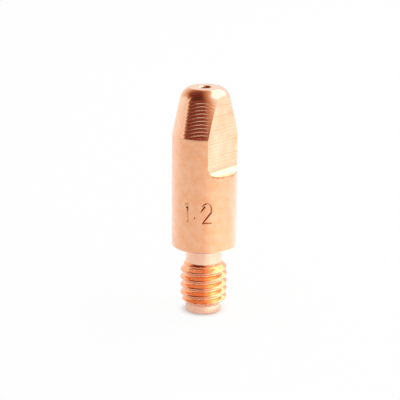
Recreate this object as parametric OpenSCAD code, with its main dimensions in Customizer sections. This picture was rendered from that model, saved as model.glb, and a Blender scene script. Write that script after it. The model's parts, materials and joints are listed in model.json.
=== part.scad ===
// Contact tip of a wire-fed welding torch, turned from one copper bar and milled with two wrench flats.
// It stands on its threaded end: the origin is the centre of that end face, and +Z runs to the nose.
// The flats face +X and -X. The thread is kept as its blank, a plain cylinder over the crests.

/* [Bar] */
// Length from the threaded end to the nose face
tip_l = 28; // [25:0.5:34]
// Diameter of the bar, which the body keeps
body_d = 7.9; // [7.2:0.1:9.5]
// Edge break round the shoulder
shoulder_break = 0.15; // [0.05:0.05:0.4]

/* [Nose] */
// Length of the tapered end, from the body's edge to the nose face
taper_l = 5.6; // [4:0.1:7.5]
// Slope of the cone against the axis, in degrees
cone_angle = 12.4; // [8:0.2:16]
// Radius of the rounding between the cone and the nose face
nose_r = 1.8; // [1:0.1:2.4]
// Diameter of the flat nose face
face_d = 3.9; // [3:0.1:4.8]

/* [Wrench flats] */
// Distance across the two flats
flats_w = 5.5; // [4.6:0.1:6.6]
// Length of the flats, from the nose face down to their ledge
flats_l = 10.15; // [7:0.05:14]
// Radius that the cutter leaves between flat and ledge
flat_corner_r = 1.15; // [0.2:0.05:1.4]

/* [Threaded end] */
// Height of the threaded end, from its end face up to the shoulder
shank_l = 8.45; // [7.5:0.05:12]
// Diameter over the thread's crests
thread_d = 5.85; // [5.4:0.05:6.8]
// Chamfer where the thread starts, above the pilot
thread_chamfer = 0.6; // [0.1:0.05:0.65]
// Length of the taper where the thread runs out into the neck
thread_runout_l = 1.1; // [0.3:0.05:1.4]
// Length of the relief neck between the thread and the shoulder
neck_l = 2; // [1.2:0.1:3]
// Diameter of the relief neck
neck_d = 4.4; // [3.6:0.1:4.8]
// Fillet between the neck and the shoulder
neck_r = 0.3; // [0.1:0.05:0.5]
// Length of the plain pilot below the thread
pilot_l = 1; // [0.6:0.05:2.4]
// Diameter of the pilot
pilot_d = 4.4; // [3.6:0.1:4.8]
// Chamfer round the pilot's end
pilot_chamfer = 0.15; // [0.05:0.05:0.5]

/* [Wire way] */
// Diameter of the bore that guides the wire and passes the current to it
bore_d = 1.4; // [0.8:0.1:2]
// Diameter of the wire's lead-in at the threaded end
lead_in_d = 2.6; // [2.2:0.1:3]
// Full angle of the lead-in cone, in degrees
lead_in_angle = 60; // [40:5:90]

/* [Hidden] */
$fn = 96;
copper = [0.93, 0.68, 0.52];
// How far a cutting shape reaches past the metal, and the steps in a drawn quarter round
overcut = 1;
round_steps = 10;

body_r = body_d / 2;
thread_r = thread_d / 2;
neck_bottom = shank_l - neck_l;
cone_start = tip_l - taper_l;
ledge_z = tip_l - flats_l;
flat_x = flats_w / 2;

// The nose rounding touches the cone and ends on the rim of the nose face.
// Its centre lies nose_r inside the cone, nose_drop below the nose face.
face_r = face_d / 2;
cone_slope = tan(cone_angle);
inner_r = body_r - taper_l * cone_slope - nose_r / cos(cone_angle);
rim_offset = face_r - inner_r;
nose_drop = (cone_slope * rim_offset
    + sqrt(pow(nose_r, 2) * (1 + pow(cone_slope, 2)) - pow(rim_offset, 2))) / (1 + pow(cone_slope, 2));
nose_centre = [inner_r + nose_drop * cone_slope, tip_l - nose_drop];
rim_angle = atan2(nose_drop, face_r - nose_centre[0]);

lead_in_l = (lead_in_d - bore_d) / 2 / tan(lead_in_angle / 2);

// Points along an arc from one angle to another
function arc(centre, r, from, to) =
    [for (i = [0 : round_steps]) let (a = from + (to - from) * i / round_steps)
        centre + r * [cos(a), sin(a)]];

// Half section of the turned blank, from the axis at the threaded end up to the nose face
function blank_section() = concat(
    [[0, 0]],
    [[pilot_d / 2 - pilot_chamfer, 0], [pilot_d / 2, pilot_chamfer], [pilot_d / 2, pilot_l]],
    [[thread_r - thread_chamfer, pilot_l], [thread_r, pilot_l + thread_chamfer]],
    [[thread_r, neck_bottom - thread_runout_l], [neck_d / 2, neck_bottom]],
    arc([neck_d / 2 + neck_r, shank_l - neck_r], neck_r, 180, 90),
    [[body_r - shoulder_break, shank_l], [body_r, shank_l + shoulder_break], [body_r, cone_start]],
    arc(nose_centre, nose_r, cone_angle, rim_angle),
    [[0, tip_l]]
);

module turned_blank() {
    rotate_extrude()
        polygon(blank_section());
}

// What the cutter takes off the +X side: a flat, a ledge and the round corner between them
module flat_cut() {
    corner = [flat_x + flat_corner_r, ledge_z + flat_corner_r];
    far_x = body_r + overcut;
    far_z = tip_l + overcut;
    rotate([90, 0, 0])
        linear_extrude(2 * far_x, center = true)
            polygon(concat(
                arc(corner, flat_corner_r, 180, 270),
                [[far_x, ledge_z], [far_x, far_z], [flat_x, far_z]]
            ));
}

module wire_way() {
    translate([0, 0, -overcut])
        cylinder(h = tip_l + 2 * overcut, d = bore_d);
    cylinder(h = lead_in_l, d1 = lead_in_d, d2 = bore_d);
}

module contact_tip() {
    color(copper)
        difference() {
            turned_blank();
            for (side = [0, 180])
                rotate(side)
                    flat_cut();
            wire_way();
        }
}

contact_tip();
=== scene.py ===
import json
import math

import bmesh
import bpy
import numpy as np
from mathutils import Matrix, Vector


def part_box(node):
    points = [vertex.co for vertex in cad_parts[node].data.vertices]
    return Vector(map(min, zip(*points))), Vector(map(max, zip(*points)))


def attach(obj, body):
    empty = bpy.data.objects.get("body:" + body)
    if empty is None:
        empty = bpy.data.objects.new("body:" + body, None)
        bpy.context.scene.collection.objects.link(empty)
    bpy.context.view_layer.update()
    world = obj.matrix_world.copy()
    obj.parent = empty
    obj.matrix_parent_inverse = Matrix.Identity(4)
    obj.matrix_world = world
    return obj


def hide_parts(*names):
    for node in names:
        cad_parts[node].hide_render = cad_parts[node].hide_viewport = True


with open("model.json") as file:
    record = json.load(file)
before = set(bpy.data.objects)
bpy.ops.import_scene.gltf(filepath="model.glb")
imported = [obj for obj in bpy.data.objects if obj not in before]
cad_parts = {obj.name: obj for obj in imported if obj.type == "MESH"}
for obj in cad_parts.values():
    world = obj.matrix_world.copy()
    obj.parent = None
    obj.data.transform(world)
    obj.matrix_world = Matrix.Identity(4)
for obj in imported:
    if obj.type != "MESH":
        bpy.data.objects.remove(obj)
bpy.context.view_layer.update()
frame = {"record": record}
mm = 0.001  # sizes below are in millimetres, heights are above the threaded end
mounts = {mount["name"]: mount for mount in frame["record"]["mounts"]}
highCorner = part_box("contact_tip")[1]
bpy.context.scene.view_settings.view_transform = "Standard"
print("frame loaded")

# Camera: it stands on a circle round the tip and looks slightly down at it
shot = {
    "azimuth": math.radians(38.5),
    "elevation": math.radians(16.47),
    "roll": math.radians(0.443),
    "distance": 150.0,
    "aimRight": -0.519,
    "aimHeight": 14.062,
    "focalPixels": 1236.2,
    "imagePixels": 400,
    "sensorWidth": 36.0,
    "clipNear": 1.0,
    "clipFar": 20000.0,
}


def placeCamera():
    right = Vector((math.cos(shot["azimuth"]), math.sin(shot["azimuth"]), 0))
    back = Vector((
        math.sin(shot["azimuth"]) * math.cos(shot["elevation"]),
        -math.cos(shot["azimuth"]) * math.cos(shot["elevation"]),
        math.sin(shot["elevation"]),
    ))
    up = back.cross(right)
    turned = Matrix.Rotation(shot["roll"], 3, back)
    data = bpy.data.cameras.new("photoCamera")
    data.sensor_width = shot["sensorWidth"]
    data.lens = shot["focalPixels"] * shot["sensorWidth"] / shot["imagePixels"]
    data.clip_start = shot["clipNear"] * mm
    data.clip_end = shot["clipFar"] * mm
    camera = bpy.data.objects.new("photoCamera", data)
    aim = right * shot["aimRight"] + Vector((0, 0, shot["aimHeight"]))
    place = (aim + back * shot["distance"]) * mm
    axes = Matrix((turned @ right, turned @ up, back)).transposed()
    camera.matrix_world = Matrix.Translation(place) @ axes.to_4x4()
    bpy.context.scene.collection.objects.link(camera)
    bpy.context.scene.camera = camera


placeCamera()
print("camera placed")

# The turned bar: the frame gives what it knows, the rest are the part's own sizes
bar = {
    "length": highCorner.z / mm,
    "bodyR": highCorner.y / mm,
    "shoulderZ": mounts["shoulder_seat"]["pos_m"][2] / mm,
    "shoulderBreak": 0.15,
    "taperLength": 5.6,
    "coneAngle": math.radians(12.4),
    "noseR": 1.8,
    "faceR": 1.95,
    "neckLength": 2.0,
    "neckR": 2.2,
    "neckFillet": 0.3,
    "pilotLength": 1.0,
    "pilotR": 2.2,
    "pilotChamfer": 0.2,
    "boreR": mounts["wire_bore"]["dims"]["r_mm"],
    "boreBreak": 0.16,
    "leadInR": 1.3,
    "leadInLength": highCorner.z / mm - mounts["wire_bore"]["dims"]["length_mm"],
}
bar["neckBottom"] = bar["shoulderZ"] - bar["neckLength"]
bar["coneStart"] = bar["length"] - bar["taperLength"]

# The two wrench flats, with the round corner that the cutter leaves above the ledge
flats = {
    "x": mounts["wrench_flat_right"]["pos_m"][0] / mm,
    "length": 10.15,
    "cornerR": 1.15,
    "cornerRows": 14,
}
flats["ledgeZ"] = bar["length"] - flats["length"]

# A right-hand thread, with its crests a little below the blank that the frame gives
thread = {
    "crestDrop": 0.05,
    "pitch": 1.0,
    "depth": 0.54,
    "crestHalf": 0.08,
    "flankAngle": math.radians(30),
    "rounding": 0.07,
    "roundingSteps": 7,
    "chamfer": 0.69,
    "plainStart": 0.3,
    "runout": 0.8,
    "runoutCurve": 1.5,
    "runoutDepth": 0.74,
    "startZ": 1.53,
    "startAngle": math.radians(-51.5),
    "rowStep": 0.042,
}
thread["r"] = mounts["thread"]["dims"]["r_mm"] - thread["crestDrop"]
thread["flank"] = thread["depth"] * math.tan(thread["flankAngle"])

# Grooves that the turning tool leaves on the cone: they rise in an arch on the stamped side,
# are deepest there, and get deeper towards the nose
turning = {
    "pitch": 0.41,
    "footDepth": 0.0145,
    "topDepth": 0.018,
    "rows": 112,
    "endFade": 0.2,
    "archAngle": math.radians(-56.5),
    "archWidth": math.radians(40),
    "archRise": 1.1,
    "deepWidth": math.radians(29),
    "restShare": 0.25,
}

# Columns round the axis: each flat has its own sector, with plain arcs between the two.
# Rows go up along each stretch of the bar and down through the bore.
grid = {
    "flatSteps": 28,
    "arcSteps": 52,
    "pilotRows": 5,
    "neckRows": 10,
    "filletRows": 6,
    "bodyRows": 12,
    "flatRows": 16,
    "noseRows": 14,
    "faceRows": 6,
    "boreRows": 14,
    "mergeGap": 0.0002,
    "sharpAngle": math.radians(32),
}

# Finishes in the order of the mesh's material slots
finishes = [
    "drawnBar", "turnedCone", "milledFlat", "turnedNose",
    "turnedShank", "rolledThread", "drilledBore", "struckMark",
]

flatShare = np.linspace(-1, 1, grid["flatSteps"] + 1)
arcShare = np.linspace(0, 1, grid["arcSteps"] + 1)[1:-1]
rightFlat = np.arange(len(flatShare))
leftFlat = rightFlat + len(flatShare) + len(arcShare)
flatColumns = np.concatenate([rightFlat, leftFlat])
ledgeHalf = math.acos((flats["x"] + flats["cornerR"]) / bar["bodyR"])
rows = []


def columnAngles(half):
    arc = half + arcShare * (math.pi - 2 * half)
    return np.concatenate([flatShare * half, arc, math.pi + flatShare * half, math.pi + arc])


# One ring of points. A cut ring has straight chords where the two flats are,
# and a dip lowers only its arcs.
def addRow(z, radius, finish, cutAt=None, half=ledgeHalf, dip=None):
    if cutAt is not None:
        half = math.acos(min(1.0, cutAt / radius))
    angle = columnAngles(half)
    r = radius(angle) if callable(radius) else np.full(len(angle), radius)
    x = r * np.cos(angle)
    y = r * np.sin(angle)
    if cutAt is not None:
        for columns, side in ((rightFlat, 1), (leftFlat, -1)):
            x[columns] = side * radius * math.cos(half)
            y[columns] = side * flatShare * radius * math.sin(half)
    if dip is not None:
        shrink = 1 - dip(angle) / radius
        shrink[flatColumns] = 1
        x *= shrink
        y *= shrink
    points = np.stack([x, y, np.full(len(angle), z)], 1)
    rows.append({"points": points, "finish": finish, "cut": cutAt is not None})


def spread(start, end, count):
    return np.linspace(start, end, count + 1)


def addThreadedEnd():
    addRow(0, bar["leadInR"], "turnedNose")
    addRow(0, (bar["leadInR"] + bar["pilotR"]) / 2, "turnedNose")
    addRow(0, bar["pilotR"] - bar["pilotChamfer"], "turnedShank")
    for z in spread(bar["pilotChamfer"], bar["pilotLength"], grid["pilotRows"]):
        addRow(z, bar["pilotR"], "turnedShank")
    count = round((bar["neckBottom"] - bar["pilotLength"]) / thread["rowStep"])
    for z in spread(bar["pilotLength"], bar["neckBottom"], count):
        plain = z < bar["pilotLength"] + thread["plainStart"]
        addRow(z, threadRadius(z), "turnedShank" if plain else "rolledThread")
    filletZ = bar["shoulderZ"] - bar["neckFillet"]
    for z in spread(bar["neckBottom"], filletZ, grid["neckRows"]):
        addRow(z, bar["neckR"], "turnedShank")
    for turn in spread(0, math.pi / 2, grid["filletRows"])[1:]:
        r = bar["neckR"] + bar["neckFillet"] * (1 - math.cos(turn))
        addRow(filletZ + bar["neckFillet"] * math.sin(turn), r, "turnedShank")
    addRow(bar["shoulderZ"], (bar["neckR"] + bar["bodyR"]) / 2, "turnedShank")


# Radius of the thread round one height: a rounded V, held in by the blank's chamfer and run-out
def threadRadius(z):
    toNeck = min(1.0, (bar["neckBottom"] - z) / thread["runout"])
    chamfered = thread["r"] - thread["chamfer"] + z - bar["pilotLength"]
    tapered = bar["neckR"] + (thread["r"] - bar["neckR"]) * toNeck ** thread["runoutCurve"]
    ceiling = min(thread["r"], chamfered, tapered)
    depth = thread["depth"] + (thread["runoutDepth"] - thread["depth"]) * (1 - toNeck)

    def radius(angle):
        turns = (angle - thread["startAngle"]) / math.tau
        along = (z - thread["startZ"]) / thread["pitch"] - turns
        drop = np.zeros(len(angle))
        shifts = np.linspace(-1, 1, thread["roundingSteps"]) * thread["rounding"]
        for shift in shifts:
            offCrest = np.abs((along + shift + 0.5) % 1 - 0.5) * thread["pitch"]
            drop += np.clip((offCrest - thread["crestHalf"]) / thread["flank"], 0, 1)
        return np.minimum(thread["r"] - depth * drop / len(shifts), ceiling)

    return radius


# Where the cutter's path stands off the axis: the flat, then its round corner out to the ledge
def cutterX(z):
    rise = max(0.0, flats["ledgeZ"] + flats["cornerR"] - z)
    return flats["x"] + flats["cornerR"] - math.sqrt(max(0.0, flats["cornerR"] ** 2 - rise ** 2))


def addBody():
    breakTop = bar["shoulderZ"] + bar["shoulderBreak"]
    addRow(bar["shoulderZ"], bar["bodyR"] - bar["shoulderBreak"], "drawnBar")
    stampRows = round((stamp["top"] - stamp["bottom"]) / stamp["rowStep"])
    heights = np.concatenate([
        spread(breakTop, stamp["bottom"], grid["bodyRows"])[:-1],
        spread(stamp["bottom"], stamp["top"], stampRows)[:-1],
        spread(stamp["top"], flats["ledgeZ"], grid["bodyRows"]),
    ])
    for z in heights:
        addRow(z, bar["bodyR"], "drawnBar")
    for turn in spread(0, math.pi / 2, flats["cornerRows"]):
        z = flats["ledgeZ"] + flats["cornerR"] * (1 - math.cos(turn))
        addRow(z, bar["bodyR"], "drawnBar", cutAt=cutterX(z))
    cornerTop = flats["ledgeZ"] + flats["cornerR"]
    for z in spread(cornerTop, bar["coneStart"], grid["flatRows"])[1:]:
        addRow(z, bar["bodyR"], "drawnBar", cutAt=flats["x"])


# The rounding touches the cone and ends on the nose face's rim: its centre and its angle at the rim
def noseRounding():
    slope = math.tan(bar["coneAngle"])
    inner = bar["bodyR"] - bar["taperLength"] * slope - bar["noseR"] / math.cos(bar["coneAngle"])
    offset = bar["faceR"] - inner
    drop = slope * offset + math.sqrt(bar["noseR"] ** 2 * (1 + slope ** 2) - offset ** 2)
    drop /= 1 + slope ** 2
    centreR = inner + drop * slope
    return centreR, bar["length"] - drop, math.atan2(drop, bar["faceR"] - centreR)


# How deep the groove is round one height
def grooveDip(height, depth):
    def dip(angle):
        off = (angle - turning["archAngle"] + math.pi) % math.tau - math.pi
        arch = turning["archRise"] * np.exp(-(off / turning["archWidth"]) ** 2)
        deep = np.exp(-(off / turning["deepWidth"]) ** 4)
        share = turning["restShare"] + (1 - turning["restShare"]) * deep
        return depth * share * (0.5 - 0.5 * np.cos(math.tau * (height - arch) / turning["pitch"]))

    return dip


def addNose():
    centreR, centreZ, rimAngle = noseRounding()
    roundZ = centreZ + bar["noseR"] * math.sin(bar["coneAngle"])
    for z in spread(bar["coneStart"], roundZ, turning["rows"])[1:-1]:
        climb = z - bar["coneStart"]
        r = bar["bodyR"] - climb * math.tan(bar["coneAngle"])
        share = climb / (roundZ - bar["coneStart"])
        depth = turning["footDepth"] + (turning["topDepth"] - turning["footDepth"]) * share
        depth *= min(1.0, (roundZ - z) / turning["endFade"], climb / turning["endFade"])
        addRow(z, r, "turnedCone", cutAt=flats["x"], dip=grooveDip(climb, depth))
    startR = centreR + bar["noseR"] * math.cos(bar["coneAngle"])
    for half in spread(math.acos(flats["x"] / startR), 0, grid["noseRows"]):
        r = flats["x"] / math.cos(half)
        turn = math.acos((r - centreR) / bar["noseR"])
        addRow(centreZ + bar["noseR"] * math.sin(turn), r, "turnedNose", cutAt=flats["x"])
    archTop = math.acos((flats["x"] - centreR) / bar["noseR"])
    for turn in spread(archTop, rimAngle, grid["noseRows"])[1:]:
        r = centreR + bar["noseR"] * math.cos(turn)
        addRow(centreZ + bar["noseR"] * math.sin(turn), r, "turnedNose", half=0.0)


def addBore():
    rim = bar["boreR"] + bar["boreBreak"]
    for r in spread(bar["faceR"], rim, grid["faceRows"])[1:]:
        addRow(bar["length"], r, "turnedNose", half=0.0)
    breakFoot = bar["length"] - bar["boreBreak"]
    for z in spread(breakFoot, bar["leadInLength"], grid["boreRows"]):
        addRow(z, bar["boreR"], "drilledBore", half=0.0)


# Plain wire size, struck into the body with single strokes. Their points are measured
# along the round from the stamp's angle, and up from the threaded end.
stamp = {
    "angle": math.radians(-51.5),
    "bottom": 11.9,
    "top": 15.2,
    "left": -2.75,
    "right": 1.25,
    "rowStep": 0.15,
    "cuts": 4,
    "baseZ": 12.36,
    "height": 2.42,
    "depth": 0.12,
    "strokeHalf": 0.13,
    "markedFrom": 0.3,  # share of the depth from which a face has the mark's finish
    "skin": 0.05,  # faces this close to the body's radius can be struck
}


# Each stroke has its points, then its force at the first and at the last of them
def stampStrokes():
    base = stamp["baseZ"]
    top = base + stamp["height"]
    bowl = [
        (0.24 + 0.62 * math.cos(turn), top - 0.78 + 0.78 * math.sin(turn))
        for turn in np.linspace(math.radians(140), math.radians(-28), 12)
    ]
    hat = [(-2.38, top - 0.25), (-2.12, top - 0.02)]
    head = [(-2.24, top - 0.64), (-2.08, top - 0.62), (-2.12, top - 0.95)]
    stem = [(-2.12, top - 0.02), (-2.05, base + 0.1)]
    point = [(-1.19, base + 0.55), (-1.19, base + 0.63)]
    tail = [(0.03, top - 0.44), (-0.12, top - 0.6), (-0.38, top - 0.97)]
    leg = [bowl[-1], (-0.25, base), (0.82, base)]
    return [
        (hat, 0.5, 0.5), (head, 1.5, 1.3), (stem, 0.55, 0.6), (point, 0.8, 0.8),
        (tail, 1.4, 0.8), (bowl, 0.55, 0.9), (leg, 1.0, 0.65),
    ]


def stampDepth(u, v):
    depth = np.zeros(len(u))
    for points, startForce, endForce in stampStrokes():
        for i in range(len(points) - 1):
            a = np.array(points[i])
            b = np.array(points[i + 1])
            run = b - a
            along = np.clip(((u - a[0]) * run[0] + (v - a[1]) * run[1]) / (run @ run), 0, 1)
            off = np.hypot(u - a[0] - along * run[0], v - a[1] - along * run[1])
            share = (i + along) / (len(points) - 1)
            force = startForce + (endForce - startForce) * share
            dip = np.clip(1 - off / stamp["strokeHalf"], 0, 1)
            struck = stamp["depth"] * force * dip * dip * (3 - 2 * dip)
            depth = np.maximum(depth, struck)
    return depth


def strikeStamp(bm, recess):
    def inside(face):
        centre = face.calc_center_median()
        onBody = math.hypot(centre.x, centre.y) >= (bar["bodyR"] - stamp["skin"]) * mm
        inHeight = stamp["bottom"] * mm < centre.z < stamp["top"] * mm
        u = (math.atan2(centre.y, centre.x) - stamp["angle"]) * bar["bodyR"]
        return onBody and inHeight and stamp["left"] < u < stamp["right"]

    faces = [face for face in bm.faces if inside(face)]
    edges = list(dict.fromkeys(edge for face in faces for edge in face.edges))
    made = bmesh.ops.subdivide_edges(bm, edges=edges, cuts=stamp["cuts"], use_grid_fill=True)
    verts = {v for v in made["geom"] if isinstance(v, bmesh.types.BMVert)}
    verts |= {v for edge in edges if edge.is_valid for v in edge.verts}
    verts = list(verts)
    angle = np.array([math.atan2(v.co.y, v.co.x) for v in verts])
    height = np.array([v.co.z for v in verts]) / mm
    depth = stampDepth((angle - stamp["angle"]) * bar["bodyR"], height)
    for vert, turn, dip in zip(verts, angle, depth):
        r = (bar["bodyR"] - dip) * mm
        vert.co.x = r * math.cos(turn)
        vert.co.y = r * math.sin(turn)
        vert[recess] = dip / stamp["depth"]
    for face in {face for vert in verts for face in vert.link_faces}:
        if max(vert[recess] for vert in face.verts) > stamp["markedFrom"]:
            face.material_index = finishes.index("struckMark")


def buildTip():
    addThreadedEnd()
    addBody()
    addNose()
    addBore()
    points = np.concatenate([row["points"] for row in rows]) * mm
    columns = len(rows[0]["points"])
    onFlat = np.zeros(columns, bool)
    onFlat[rightFlat[:-1]] = True
    onFlat[leftFlat[:-1]] = True
    bm = bmesh.new()
    recess = bm.verts.layers.float.new("recess")
    verts = [bm.verts.new(p) for p in points]
    for i, row in enumerate(rows):
        above = (i + 1) % len(rows)
        for j in range(columns):
            k = (j + 1) % columns
            corners = [verts[i * columns + j], verts[i * columns + k],
                       verts[above * columns + k], verts[above * columns + j]]
            face = bm.faces.new(corners)
            milled = row["cut"] and rows[above]["cut"] and onFlat[j]
            face.material_index = finishes.index("milledFlat" if milled else row["finish"])
            face.smooth = True
    bmesh.ops.remove_doubles(bm, verts=bm.verts, dist=grid["mergeGap"] * mm)
    bmesh.ops.recalc_face_normals(bm, faces=bm.faces)
    strikeStamp(bm, recess)
    mesh = bpy.data.meshes.new("contactTip")
    bm.to_mesh(mesh)
    bm.free()
    mesh.set_sharp_from_angle(angle=grid["sharpAngle"])
    tip = bpy.data.objects.new("contactTip", mesh)
    bpy.context.scene.collection.objects.link(tip)
    return tip


tip = buildTip()
print("tip built:", len(tip.data.vertices), "points", len(tip.data.polygons), "faces")


def newGroup(name, inputs, outputs):
    group = bpy.data.node_groups.new(name, "ShaderNodeTree")
    for label, kind in inputs.items():
        group.interface.new_socket(label, in_out="INPUT", socket_type="NodeSocket" + kind)
    for label, kind in outputs.items():
        group.interface.new_socket(label, in_out="OUTPUT", socket_type="NodeSocket" + kind)
    return group, group.nodes.new("NodeGroupInput"), group.nodes.new("NodeGroupOutput")


# Sets a socket to a plain value, or links it to another socket
def feed(tree, socket, value):
    if isinstance(value, (int, float, tuple)):
        socket.default_value = value
    else:
        tree.links.new(value, socket)


def mathNode(tree, operation, *values):
    node = tree.nodes.new("ShaderNodeMath")
    node.operation = operation
    for socket, value in zip(node.inputs, values):
        feed(tree, socket, value)
    return node.outputs[0]


def mapRange(tree, value, fromLow, fromHigh, toLow, toHigh):
    node = tree.nodes.new("ShaderNodeMapRange")
    limits = {"From Min": fromLow, "From Max": fromHigh, "To Min": toLow, "To Max": toHigh}
    for label, number in limits.items():
        feed(tree, node.inputs[label], number)
    tree.links.new(value, node.inputs["Value"])
    return node.outputs["Result"]


def mixColor(tree, factor, first, second):
    node = tree.nodes.new("ShaderNodeMix")
    node.data_type = "RGBA"
    feed(tree, node.inputs[0], factor)  # a colour mix has its two colours at 6 and 7
    feed(tree, node.inputs[6], first)
    feed(tree, node.inputs[7], second)
    return node.outputs[2]


def noiseNode(tree, position, scale, detail, roughness=0.5):
    node = tree.nodes.new("ShaderNodeTexNoise")
    node.inputs["Detail"].default_value = detail
    node.inputs["Roughness"].default_value = roughness
    feed(tree, node.inputs["Scale"], scale)
    tree.links.new(position, node.inputs["Vector"])
    return node.outputs["Fac"]


# What the finishes have in common
copper = {
    "sheenRoughness": 0.5,
    # Colour of the painted shade line under each flat's burr, and where that line starts
    "burrShadeColor": (0.42, 0.12, 0.02, 1),
    "burrShadeTop": -0.95,  # counted from the centre of the flat's round corner
    # Colour and strength of the painted shade, with dirt and oxide, in the struck marks
    "dirtAndShadeColor": (0.27, 0.055, 0.012, 1),
    "dirtAndShadeAmount": 0.8,
}


# Cloudy change of tone over the metal
def makeCopperClouds():
    tree, inside, out = newGroup(
        "copperClouds",
        {"Position": "Vector", "Clouds per mm": "Float", "Light": "Color", "Deep": "Color"},
        {"Color": "Color", "Cloud": "Float"},
    )
    large = noiseNode(tree, inside.outputs["Position"], inside.outputs["Clouds per mm"], 3.0, 0.55)
    cloud = mapRange(tree, large, 0.36, 0.64, 0.0, 1.0)  # the middle of the noise, stretched
    toned = mixColor(tree, cloud, inside.outputs["Light"], inside.outputs["Deep"])
    tree.links.new(toned, out.inputs["Color"])
    tree.links.new(cloud, out.inputs["Cloud"])
    return tree


# Fine parallel lines across the axis, each of its own strength, that waver a little
def makeToolLines():
    tree, inside, out = newGroup(
        "toolLines",
        {"Position": "Vector", "Pitch": "Float", "Waver": "Float"},
        {"Height": "Float", "Line": "Float"},
    )
    split = tree.nodes.new("ShaderNodeSeparateXYZ")
    tree.links.new(inside.outputs["Position"], split.inputs[0])
    swing = mathNode(tree, "SUBTRACT", noiseNode(tree, inside.outputs["Position"], 0.8, 2.0), 0.5)
    drift = mathNode(tree, "MULTIPLY", swing, inside.outputs["Waver"])
    height = mathNode(tree, "ADD", split.outputs["Z"], drift)
    count = mathNode(tree, "DIVIDE", height, inside.outputs["Pitch"])
    pick = tree.nodes.new("ShaderNodeTexWhiteNoise")
    pick.noise_dimensions = "1D"
    tree.links.new(mathNode(tree, "FLOOR", count), pick.inputs["W"])
    wave = mathNode(tree, "PINGPONG", count, 0.5)
    own = mapRange(tree, pick.outputs["Value"], 0.0, 1.0, 0.35, 1.0)  # no line is quite flat
    thin = mapRange(tree, wave, 0.25, 0.5, 0.0, 1.0)  # only the upper half of the wave
    tree.links.new(mathNode(tree, "MULTIPLY", wave, own), out.inputs["Height"])
    tree.links.new(mathNode(tree, "MULTIPLY", thin, pick.outputs["Value"]), out.inputs["Line"])
    return tree


# Uneven dark line along the foot of each flat: painted shade under the burr that the cutter pushed
# up
def makeBurrShadeLine():
    tree, inside, out = newGroup(
        "burrShadeLine",
        {
            "Position": "Vector", "Corner X": "Float", "Corner Z": "Float", "Corner R": "Float",
            "Width": "Float",
        },
        {"Mask": "Float"},
    )
    split = tree.nodes.new("ShaderNodeSeparateXYZ")
    tree.links.new(inside.outputs["Position"], split.inputs[0])
    eitherSide = mathNode(tree, "ABSOLUTE", split.outputs["X"])
    offX = mathNode(tree, "SUBTRACT", eitherSide, inside.outputs["Corner X"])
    offZ = mathNode(tree, "SUBTRACT", split.outputs["Z"], inside.outputs["Corner Z"])
    squareX = mathNode(tree, "MULTIPLY", offX, offX)
    squareZ = mathNode(tree, "MULTIPLY", offZ, offZ)
    reach = mathNode(tree, "SQRT", mathNode(tree, "ADD", squareX, squareZ))
    below = mathNode(tree, "SUBTRACT", reach, inside.outputs["Corner R"])
    patches = noiseNode(tree, inside.outputs["Position"], 2.2, 2.0)
    uneven = mapRange(tree, patches, 0.38, 0.62, 0.25, 1.0)  # from a quarter to the full width
    width = mathNode(tree, "MULTIPLY", uneven, inside.outputs["Width"])
    near = mapRange(tree, below, 0.0, width, 1.0, 0.0)
    low = mathNode(tree, "LESS_THAN", offZ, copper["burrShadeTop"])
    tree.links.new(mathNode(tree, "MULTIPLY", near, low), out.inputs["Mask"])
    return tree


# Painted shade in the struck marks, together with the dirt and oxide held in them
def makeRecessShade():
    tree, inside, out = newGroup(
        "recessShade",
        {"Color": "Color", "Shade": "Color", "Amount": "Float"},
        {"Color": "Color"},
    )
    mark = tree.nodes.new("ShaderNodeAttribute")
    mark.attribute_name = "recess"
    amount = mathNode(tree, "MULTIPLY", mark.outputs["Fac"], inside.outputs["Amount"])
    shaded = mixColor(tree, amount, inside.outputs["Color"], inside.outputs["Shade"])
    tree.links.new(shaded, out.inputs["Color"])
    return tree


groups = {
    "clouds": makeCopperClouds(),
    "lines": makeToolLines(),
    "burrShade": makeBurrShadeLine(),
    "recess": makeRecessShade(),
}

# The last number of each look is the width of the painted shade line under the flats' burr
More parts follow.
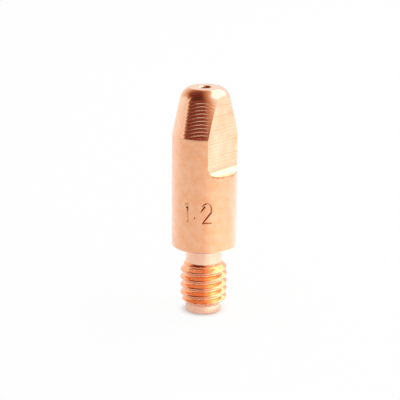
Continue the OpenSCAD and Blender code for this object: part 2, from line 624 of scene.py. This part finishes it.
looks = {
    "drawnBar": {
        "light": (0.94, 0.505, 0.295, 1), "deep": (0.92, 0.435, 0.22, 1), "cloudsPerMm": 1.1,
        "pitch": 0.9, "waver": 0.6, "lineTone": (0.92, 0.435, 0.22, 1), "lineShade": 0.0,
        "lineBump": 0.0, "roughness": (0.28, 0.32), "sheen": 1.0, "burrShade": 0.4,
    },
    "turnedCone": {
        "light": (0.95, 0.57, 0.39, 1), "deep": (0.94, 0.52, 0.33, 1), "cloudsPerMm": 0.9,
        "pitch": 0.11, "waver": 0.05, "lineTone": (0.94, 0.52, 0.33, 1), "lineShade": 0.06,
        "lineBump": 0.0, "roughness": (0.12, 0.15), "sheen": 0.12, "burrShade": 0.0,
    },
    "milledFlat": {
        "light": (0.98, 0.71, 0.49, 1), "deep": (0.96, 0.56, 0.34, 1), "cloudsPerMm": 0.35,
        "pitch": 0.4, "waver": 0.3, "lineTone": (0.85, 0.38, 0.18, 1), "lineShade": 0.65,
        "lineBump": 0.003, "roughness": (0.22, 0.26), "sheen": 0.3, "burrShade": 0.0,
    },
    "turnedNose": {
        "light": (0.95, 0.6, 0.42, 1), "deep": (0.94, 0.54, 0.35, 1), "cloudsPerMm": 0.9,
        "pitch": 0.09, "waver": 0.04, "lineTone": (0.94, 0.54, 0.35, 1), "lineShade": 0.05,
        "lineBump": 0.0, "roughness": (0.16, 0.22), "sheen": 0.05, "burrShade": 0.0,
    },
    "turnedShank": {
        "light": (0.95, 0.61, 0.45, 1), "deep": (0.94, 0.56, 0.39, 1), "cloudsPerMm": 0.9,
        "pitch": 0.3, "waver": 0.04, "lineTone": (0.93, 0.5, 0.33, 1), "lineShade": 0.6,
        "lineBump": 0.0, "roughness": (0.24, 0.28), "sheen": 0.5, "burrShade": 0.0,
    },
    "rolledThread": {
        "light": (0.95, 0.47, 0.25, 1), "deep": (0.94, 0.4, 0.19, 1), "cloudsPerMm": 0.9,
        "pitch": 0.21, "waver": 0.1, "lineTone": (0.94, 0.4, 0.19, 1), "lineShade": 0.05,
        "lineBump": 0.0, "roughness": (0.15, 0.2), "sheen": 0.28, "burrShade": 0.0,
    },
    "drilledBore": {
        "light": (0.93, 0.48, 0.28, 1), "deep": (0.88, 0.4, 0.2, 1), "cloudsPerMm": 0.9,
        "pitch": 0.13, "waver": 0.1, "lineTone": (0.88, 0.4, 0.2, 1), "lineShade": 0.08,
        "lineBump": 0.003, "roughness": (0.34, 0.4), "sheen": 0.0, "burrShade": 0.0,
    },
}
looks["struckMark"] = {**looks["drawnBar"], "roughness": (0.3, 0.38), "sheen": 0.0, "burrShade": 0.0}


def placeGroup(tree, name, values):
    node = tree.nodes.new("ShaderNodeGroup")
    node.node_tree = groups[name]
    for label, value in values.items():
        feed(tree, node.inputs[label], value)
    return node.outputs


def bumpNode(tree, height, distance):
    node = tree.nodes.new("ShaderNodeBump")
    node.inputs["Strength"].default_value = 1.0
    node.inputs["Distance"].default_value = distance * mm
    tree.links.new(height, node.inputs["Height"])
    return node.outputs["Normal"]


def copperFinish(name, look):
    material = bpy.data.materials.new(name)
    material.use_nodes = True
    tree = material.node_tree
    shader = tree.nodes["Principled BSDF"]
    shader.inputs["Metallic"].default_value = 1.0
    shader.inputs["Sheen Weight"].default_value = look["sheen"]
    shader.inputs["Sheen Roughness"].default_value = copper["sheenRoughness"]
    place = tree.nodes.new("ShaderNodeTexCoord").outputs["Object"]
    scaled = tree.nodes.new("ShaderNodeVectorMath")
    scaled.operation = "SCALE"
    scaled.inputs["Scale"].default_value = 1 / mm
    tree.links.new(place, scaled.inputs[0])
    position = scaled.outputs[0]
    clouds = placeGroup(tree, "clouds", {
        "Position": position,
        "Clouds per mm": look["cloudsPerMm"],
        "Light": look["light"],
        "Deep": look["deep"],
    })
    lines = placeGroup(tree, "lines", {
        "Position": position,
        "Pitch": look["pitch"],
        "Waver": look["waver"],
    })
    lined = mathNode(tree, "MULTIPLY", lines["Line"], look["lineShade"])
    toned = mixColor(tree, lined, clouds["Color"], look["lineTone"])
    # Painted shade line under the flats' burr, laid over the base colour
    burrShade = placeGroup(tree, "burrShade", {
        "Position": position,
        "Corner X": flats["x"] + flats["cornerR"],
        "Corner Z": flats["ledgeZ"] + flats["cornerR"],
        "Corner R": flats["cornerR"],
        "Width": look["burrShade"],
    })
    burrShaded = mixColor(tree, burrShade["Mask"], toned, copper["burrShadeColor"])
    # Painted shade, with dirt and oxide, darkens the struck marks by their depth
    shaded = placeGroup(tree, "recess", {
        "Color": burrShaded,
        "Shade": copper["dirtAndShadeColor"],
        "Amount": copper["dirtAndShadeAmount"],
    })
    tree.links.new(shaded["Color"], shader.inputs["Base Color"])
    low, high = look["roughness"]
    tree.links.new(mapRange(tree, clouds["Cloud"], 0.0, 1.0, low, high), shader.inputs["Roughness"])
    if look["lineBump"]:
        tree.links.new(bumpNode(tree, lines["Height"], look["lineBump"]), shader.inputs["Normal"])
    return material


for finish in finishes:
    tip.data.materials.append(copperFinish(finish, looks[finish]))
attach(tip, "root")
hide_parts("contact_tip")
print("finishes applied")

# White floor and room, two dark canopies over the tip, white cards at its sides and a softbox
studio = {
    "floorRadius": 1500.0,
    "floorSegments": 96,
    "floorDrop": 0.01,
    "floorGlow": 0.93,
    "floorMirrored": 0.44,
    "contactReach": 1.0,
    "contactCurve": 2.0,
    "floorColor": (0.88, 0.88, 0.88, 1),
    "skyLight": 0.78,
    "boxAzimuth": math.radians(105),
    "boxElevation": math.radians(49),
    "boxDistance": 400.0,
    "boxWidth": 600.0,
    "boxHeight": 345.0,
    "boxPower": 0.8,
    "canopyRibs": 30,
    "canopySteps": 60,
    "cardPosts": 45,
    "cardLift": 0.02,
    "cardEdgeGlow": 0.95,
}


# A point at a distance from the tip's foot, with the azimuth counted to the right of the camera
def studioPoint(azimuth, elevation, distance):
    turn = shot["azimuth"] + azimuth
    return Vector((
        math.sin(turn) * math.cos(elevation),
        -math.cos(turn) * math.cos(elevation),
        math.sin(elevation),
    )) * distance * mm


def anyShownRay(tree):
    path = tree.nodes.new("ShaderNodeLightPath").outputs
    seen = mathNode(tree, "MAXIMUM", path["Is Camera Ray"], path["Is Glossy Ray"])
    return mathNode(tree, "MAXIMUM", seen, path["Is Transmission Ray"])


def meshObject(name, bm):
    mesh = bpy.data.meshes.new(name)
    bm.to_mesh(mesh)
    bm.free()
    made = bpy.data.objects.new(name, mesh)
    bpy.context.scene.collection.objects.link(made)
    return made


def addFloor():
    bm = bmesh.new()
    bmesh.ops.create_circle(bm, cap_ends=True, segments=studio["floorSegments"],
                            radius=studio["floorRadius"] * mm)
    floor = meshObject("studioFloor", bm)
    floor.location.z = -studio["floorDrop"] * mm
    material = bpy.data.materials.new("whiteFloor")
    material.use_nodes = True
    tree = material.node_tree
    tree.nodes.clear()
    matte = tree.nodes.new("ShaderNodeBsdfDiffuse")
    matte.inputs["Color"].default_value = studio["floorColor"]
    glow = tree.nodes.new("ShaderNodeEmission")
    glow.inputs["Strength"].default_value = 1.0
    mix = tree.nodes.new("ShaderNodeMixShader")
    # For camera rays the floor's glow dims with ambient occlusion near the tip's foot: a painted
    # contact shadow
    contact = tree.nodes.new("ShaderNodeAmbientOcclusion")
    contact.inputs["Distance"].default_value = studio["contactReach"] * mm
    path = tree.nodes.new("ShaderNodeLightPath").outputs
    clear = mathNode(tree, "POWER", contact.outputs["AO"], studio["contactCurve"])
    lit = mathNode(tree, "MULTIPLY", path["Is Camera Ray"], clear)
    seen = mathNode(tree, "MULTIPLY", lit, studio["floorGlow"])
    mirrored = mathNode(tree, "MULTIPLY", path["Is Glossy Ray"], studio["floorMirrored"])
    tree.links.new(mathNode(tree, "ADD", seen, mirrored), mix.inputs[0])
    tree.links.new(matte.outputs[0], mix.inputs[1])
    tree.links.new(glow.outputs[0], mix.inputs[2])
    out = tree.nodes.new("ShaderNodeOutputMaterial")
    tree.links.new(mix.outputs[0], out.inputs["Surface"])
    floor.data.materials.append(material)


# The canopies are parts of spheres, in degrees: up over the tip from the front, and to its sides.
# Each is dark in the middle and fades to white through warm tones.
# The large one hangs over the whole tip, the small one stands close behind the nose.
canopyTones = [
    (0.0, (0.1, 0.024, 0.016)),
    (0.1, (0.18, 0.05, 0.035)),
    (0.3, (0.4, 0.15, 0.09)),
    (0.6, (0.66, 0.37, 0.22)),
    (0.8, (0.85, 0.64, 0.45)),
    (1.0, (1.0, 1.0, 0.95)),
]
largeCanopy = {
    "name": "largeCanopy",
    "radius": 450.0,
    "centreZ": 0.0,
    "over": (4, 20, 45, 70, 97, 109, 118),
    "left": (-83, -83, -78, -66, -92, -84, -64),
    "leftFade": (14, 14, 16, 19, 50, 50, 36),
    "right": (44, 42, 30, 22, 19, 20, -2),
    "rightFade": (55, 53, 42, 35, 32, 32, 20),
    "lift": (0.18, 0.16, 0, 0.04, 0.11, 0.19, 0.3),
}
noseCanopy = {
    "name": "noseCanopy",
    "radius": 22.0,
    "centreZ": 27.5,
    "over": (114, 119, 128, 142, 160, 175),
    "left": (-74, -70, -70, -68, -70, -70),
    "leftFade": (44, 40, 40, 40, 40, 40),
    "right": (6, -2, -6, -12, -20, -25),
    "rightFade": (26, 20, 20, 18, 14, 12),
    "lift": (0.24, 0.4, 0.66, 0.8, 0.92, 1),
}


def canopyTone(fade):
    stops = [stop for stop, tone in canopyTones]
    channels = zip(*[tone for stop, tone in canopyTones])
    return [float(np.interp(fade, stops, channel)) for channel in channels] + [1.0]


def addCanopy(canopy):
    bm = bmesh.new()
    shade = bm.verts.layers.float_color.new("shade")
    steps = studio["canopySteps"]
    ribs = []
    for overhead in np.linspace(canopy["over"][0], canopy["over"][-1], studio["canopyRibs"]):
        left, leftFade, right, rightFade, lift = [
            float(np.interp(overhead, canopy["over"], canopy[edge]))
            for edge in ("left", "leftFade", "right", "rightFade", "lift")
        ]
        over = math.radians(overhead)
        rib = []
        for side in np.linspace(left, right, steps + 1):
            across = math.radians(side)
            vert = bm.verts.new(
                studioPoint(math.pi / 2, 0.0, canopy["radius"]) * math.sin(across)
                + studioPoint(0.0, 0.0, canopy["radius"]) * math.cos(across) * math.cos(over)
                + Vector((0, 0, canopy["radius"] * mm)) * math.cos(across) * math.sin(over)
                + Vector((0, 0, canopy["centreZ"] * mm))
            )
            fade = max(1 - (side - left) / leftFade, 1 - (right - side) / rightFade)
            vert[shade] = canopyTone(max(lift, fade))
            rib.append(vert)
        ribs.append(rib)
    for low, high in zip(ribs, ribs[1:]):
        for i in range(steps):
            bm.faces.new((low[i], low[i + 1], high[i + 1], high[i]))
    glowingCard(canopy["name"], bm)


# A card that only shows in the metal: it glows in the colours of its "shade" attribute
def glowingCard(name, bm):
    card = meshObject(name, bm)
    card.visible_camera = False
    card.visible_diffuse = False
    card.visible_shadow = False
    material = bpy.data.materials.new(name)
    material.use_nodes = True
    tree = material.node_tree
    tree.nodes.clear()
    mark = tree.nodes.new("ShaderNodeAttribute")
    mark.attribute_name = "shade"
    glow = tree.nodes.new("ShaderNodeEmission")
    tree.links.new(mark.outputs["Color"], glow.inputs["Color"])
    out = tree.nodes.new("ShaderNodeOutputMaterial")
    tree.links.new(glow.outputs[0], out.inputs["Surface"])
    card.data.materials.append(material)


# White cards round the two sides: they lie on the floor near the tip and stand up farther out.
# Each ring, and the upper edge last, has its own glow and the angle over which it fades in.
rightCard = {
    "name": "rightCard",
    "reach": (3.2, 4.8, 7.5, 12.0, 19.0, 30.0, 60.0),
    "height": 24.0,
    "from": 0,
    "to": 150,
    "fade": (32, 32, 60, 45, 32, 32, 32, 32),
    "glow": (1.4, 1.4, 5.5, 3.2, 1.15, 1.42, 1.25, 1.1),
}
leftCard = {
    "name": "leftCard",
    "reach": (20.0, 55.0, 90.0),
    "height": 60.0,
    "from": -92,
    "to": -165,
    "fade": (25, 25, 25, 25),
    "glow": (1.1, 1.1, 1.1, 1.1),
}


def addSideCard(card):
    bm = bmesh.new()
    shade = bm.verts.layers.float_color.new("shade")
    lift = Vector((0, 0, studio["cardLift"] * mm))
    edgeGlow = studio["cardEdgeGlow"]
    posts = []
    for azimuth in np.linspace(card["from"], card["to"], studio["cardPosts"]):
        points = [studioPoint(math.radians(azimuth), 0.0, reach) + lift for reach in card["reach"]]
        points.append(points[-1] + Vector((0, 0, card["height"] * mm)))
        post = [bm.verts.new(point) for point in points]
        for vert, glow, fade in zip(post, card["glow"], card["fade"]):
            ease = min(1.0, abs(azimuth - card["from"]) / fade)
            vert[shade] = [edgeGlow + (glow - edgeGlow) * ease] * 3 + [1.0]
        posts.append(post)
    for one, two in zip(posts, posts[1:]):
        for i in range(len(one) - 1):
            bm.faces.new((one[i], two[i], two[i + 1], one[i + 1]))
    glowingCard(card["name"], bm)


def addSoftbox():
    data = bpy.data.lights.new("softbox", "AREA")
    data.shape = "RECTANGLE"
    data.size = studio["boxWidth"] * mm
    data.size_y = studio["boxHeight"] * mm
    data.energy = studio["boxPower"]
    box = bpy.data.objects.new("softbox", data)
    box.location = studioPoint(studio["boxAzimuth"], studio["boxElevation"], studio["boxDistance"])
    aim = Vector((0, 0, bar["length"] / 2 * mm)) - box.location
    box.rotation_euler = aim.to_track_quat("-Z", "Y").to_euler()
    bpy.context.scene.collection.objects.link(box)


def addWorld():
    world = bpy.data.worlds.new("whiteRoom")
    bpy.context.scene.world = world
    world.use_nodes = True
    tree = world.node_tree
    ground = tree.nodes["Background"]
    ground.inputs["Color"].default_value = (1, 1, 1, 1)
    strength = mapRange(tree, anyShownRay(tree), 0.0, 1.0, studio["skyLight"], 1.0)
    tree.links.new(strength, ground.inputs["Strength"])


addFloor()
addCanopy(largeCanopy)
addCanopy(noseCanopy)
addSideCard(rightCard)
addSideCard(leftCard)
addSoftbox()
addWorld()
print("studio set")
